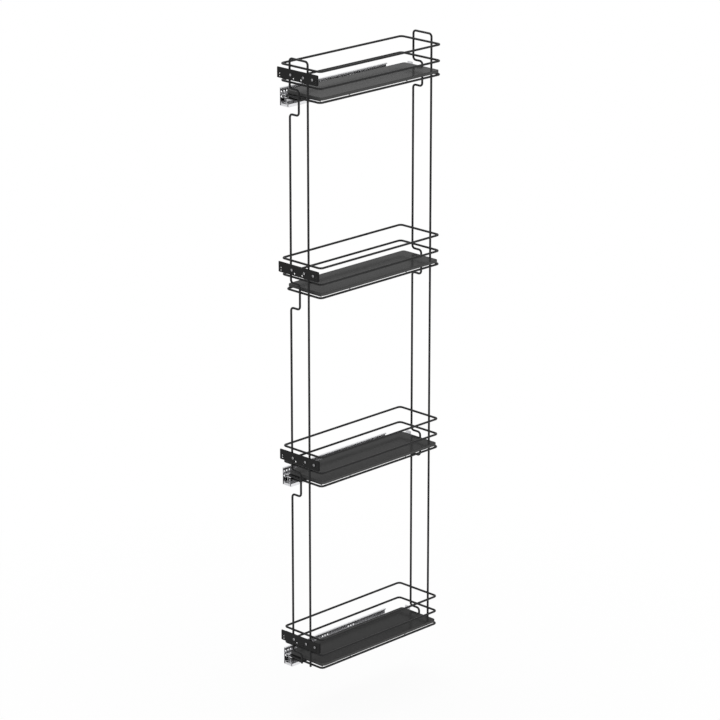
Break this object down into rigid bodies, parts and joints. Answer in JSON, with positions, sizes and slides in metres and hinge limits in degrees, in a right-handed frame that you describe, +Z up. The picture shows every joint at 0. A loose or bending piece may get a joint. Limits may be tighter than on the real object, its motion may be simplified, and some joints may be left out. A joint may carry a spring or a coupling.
{
  "type": "pull-out bottle rack",
  "caption": "Tall pull-out bottle rack of bent wire with tiered trays, side-mounted extension runners, release levers and adjustable door brackets.",
  "frame": {"origin": "on the cabinet wall's face, midway between the end screws of the bottom runner", "axes": "+X from the wall into the cabinet, +Y from the door to the back of the cabinet, +Z up"},
  "size_m": [0.161, 0.4874, 1.7533],
  "materials": {
    "wire_coat": "satin near-black powder coat",
    "bracket_coat": "satin near-black powder coat",
    "board": "dark grey laminate, slightly glossy",
    "zinc_sheet": "bright zinc plated",
    "roller_steel": "ground",
    "cage_plastic": "moulded",
    "coupling_plastic": "moulded, near-black"
  },
  "bodies": {
    "cabinet_side": {"wall_plate_bottom": "zinc_sheet", "track_bottom": "zinc_sheet", "wall_plate_lower": "zinc_sheet", "track_lower": "zinc_sheet", "wall_plate_top": "zinc_sheet", "track_top": "zinc_sheet"},
    "rack": {"front_uprights": "wire_coat", "rear_uprights": "wire_coat", "cross_wires": "wire_coat", "bracket_clamps": "bracket_coat", "top_rail_bottom": "wire_coat", "guard_rail_bottom": "wire_coat", "base_loop_bottom": "wire_coat", "tray_board_bottom": "board", "door_bracket_bottom": "bracket_coat", "top_rail_lower": "wire_coat", "guard_rail_lower": "wire_coat", "base_loop_lower": "wire_coat", "tray_board_lower": "board", "door_bracket_lower": "bracket_coat", "top_rail_upper": "wire_coat", "guard_rail_upper": "wire_coat", "base_loop_upper": "wire_coat", "tray_board_upper": "board", "door_bracket_upper": "bracket_coat", "top_rail_top": "wire_coat", "guard_rail_top": "wire_coat", "base_loop_top": "wire_coat", "tray_board_top": "board", "door_bracket_top": "bracket_coat", "drawer_member_bottom": "zinc_sheet", "front_coupling_bottom": "coupling_plastic", "drawer_member_lower": "zinc_sheet", "front_coupling_lower": "coupling_plastic", "drawer_member_top": "zinc_sheet", "front_coupling_top": "coupling_plastic"},
    "lower_cage_bottom": {"lower_cage_bottom": "cage_plastic", "lower_rollers_bottom": "roller_steel"},
    "middle_member_bottom": {"middle_member_bottom": "zinc_sheet"},
    "upper_cage_bottom": {"upper_cage_bottom": "cage_plastic", "upper_rollers_bottom": "roller_steel"},
    "lower_cage_lower": {"lower_cage_lower": "cage_plastic", "lower_rollers_lower": "roller_steel"},
    "middle_member_lower": {"middle_member_lower": "zinc_sheet"},
    "upper_cage_lower": {"upper_cage_lower": "cage_plastic", "upper_rollers_lower": "roller_steel"},
    "lower_cage_top": {"lower_cage_top": "cage_plastic", "lower_rollers_top": "roller_steel"},
    "middle_member_top": {"middle_member_top": "zinc_sheet"},
    "upper_cage_top": {"upper_cage_top": "cage_plastic", "upper_rollers_top": "roller_steel"},
    "door_plate_bottom": {"door_plate_bottom": "bracket_coat"},
    "door_plate_lower": {"door_plate_lower": "bracket_coat"},
    "door_plate_upper": {"door_plate_upper": "bracket_coat"},
    "door_plate_top": {"door_plate_top": "bracket_coat"},
    "release_lever_bottom": {"release_lever_bottom": "coupling_plastic"},
    "release_lever_lower": {"release_lever_lower": "coupling_plastic"},
    "release_lever_top": {"release_lever_top": "coupling_plastic"}
  },
  "joints": [
    {"name": "rack_slide", "type": "slide", "parent": "cabinet_side", "child": "rack", "axis": [0, -1, 0], "range_m": [0, 0.455]},
    {"name": "lower_cage_bottom_slide", "type": "slide", "parent": "cabinet_side", "child": "lower_cage_bottom", "axis": [0, -1, 0], "range_m": [0, 0.1138]},
    {"name": "middle_member_bottom_slide", "type": "slide", "parent": "cabinet_side", "child": "middle_member_bottom", "axis": [0, -1, 0], "range_m": [0, 0.2276]},
    {"name": "upper_cage_bottom_slide", "type": "slide", "parent": "cabinet_side", "child": "upper_cage_bottom", "axis": [0, -1, 0], "range_m": [0, 0.3413]},
    {"name": "lower_cage_lower_slide", "type": "slide", "parent": "cabinet_side", "child": "lower_cage_lower", "axis": [0, -1, 0], "range_m": [0, 0.1138]},
    {"name": "middle_member_lower_slide", "type": "slide", "parent": "cabinet_side", "child": "middle_member_lower", "axis": [0, -1, 0], "range_m": [0, 0.2276]},
    {"name": "upper_cage_lower_slide", "type": "slide", "parent": "cabinet_side", "child": "upper_cage_lower", "axis": [0, -1, 0], "range_m": [0, 0.3413]},
    {"name": "lower_cage_top_slide", "type": "slide", "parent": "cabinet_side", "child": "lower_cage_top", "axis": [0, -1, 0], "range_m": [0, 0.1138]},
    {"name": "middle_member_top_slide", "type": "slide", "parent": "cabinet_side", "child": "middle_member_top", "axis": [0, -1, 0], "range_m": [0, 0.2276]},
    {"name": "upper_cage_top_slide", "type": "slide", "parent": "cabinet_side", "child": "upper_cage_top", "axis": [0, -1, 0], "range_m": [0, 0.3413]},
    {"name": "door_plate_bottom_shift", "type": "slide", "parent": "rack", "child": "door_plate_bottom", "axis": [1, 0, 0], "range_m": [-0.003, 0.003]},
    {"name": "door_plate_lower_shift", "type": "slide", "parent": "rack", "child": "door_plate_lower", "axis": [1, 0, 0], "range_m": [-0.003, 0.003]},
    {"name": "door_plate_upper_shift", "type": "slide", "parent": "rack", "child": "door_plate_upper", "axis": [1, 0, 0], "range_m": [-0.003, 0.003]},
    {"name": "door_plate_top_shift", "type": "slide", "parent": "rack", "child": "door_plate_top", "axis": [1, 0, 0], "range_m": [-0.003, 0.003]},
    {"name": "release_lever_bottom_pivot", "type": "hinge", "parent": "rack", "child": "release_lever_bottom", "pos_m": [0.0405, -0.13, -0.01], "axis": [0, 0, 1], "range_deg": [-18, 0], "stiffness_Nm_per_rad": 0.05},
    {"name": "release_lever_lower_pivot", "type": "hinge", "parent": "rack", "child": "release_lever_lower", "pos_m": [0.0405, -0.13, 0.527], "axis": [0, 0, 1], "range_deg": [-18, 0], "stiffness_Nm_per_rad": 0.05},
    {"name": "release_lever_top_pivot", "type": "hinge", "parent": "rack", "child": "release_lever_top", "pos_m": [0.0405, -0.13, 1.601], "axis": [0, 0, 1], "range_deg": [-18, 0], "stiffness_Nm_per_rad": 0.05}
  ],
  "couplings": [
    {"joint": "lower_cage_bottom_slide", "follows": "rack_slide", "ratio": 0.25},
    {"joint": "middle_member_bottom_slide", "follows": "rack_slide", "ratio": 0.5},
    {"joint": "upper_cage_bottom_slide", "follows": "rack_slide", "ratio": 0.75},
    {"joint": "lower_cage_lower_slide", "follows": "rack_slide", "ratio": 0.25},
    {"joint": "middle_member_lower_slide", "follows": "rack_slide", "ratio": 0.5},
    {"joint": "upper_cage_lower_slide", "follows": "rack_slide", "ratio": 0.75},
    {"joint": "lower_cage_top_slide", "follows": "rack_slide", "ratio": 0.25},
    {"joint": "middle_member_top_slide", "follows": "rack_slide", "ratio": 0.5},
    {"joint": "upper_cage_top_slide", "follows": "rack_slide", "ratio": 0.75}
  ]
}
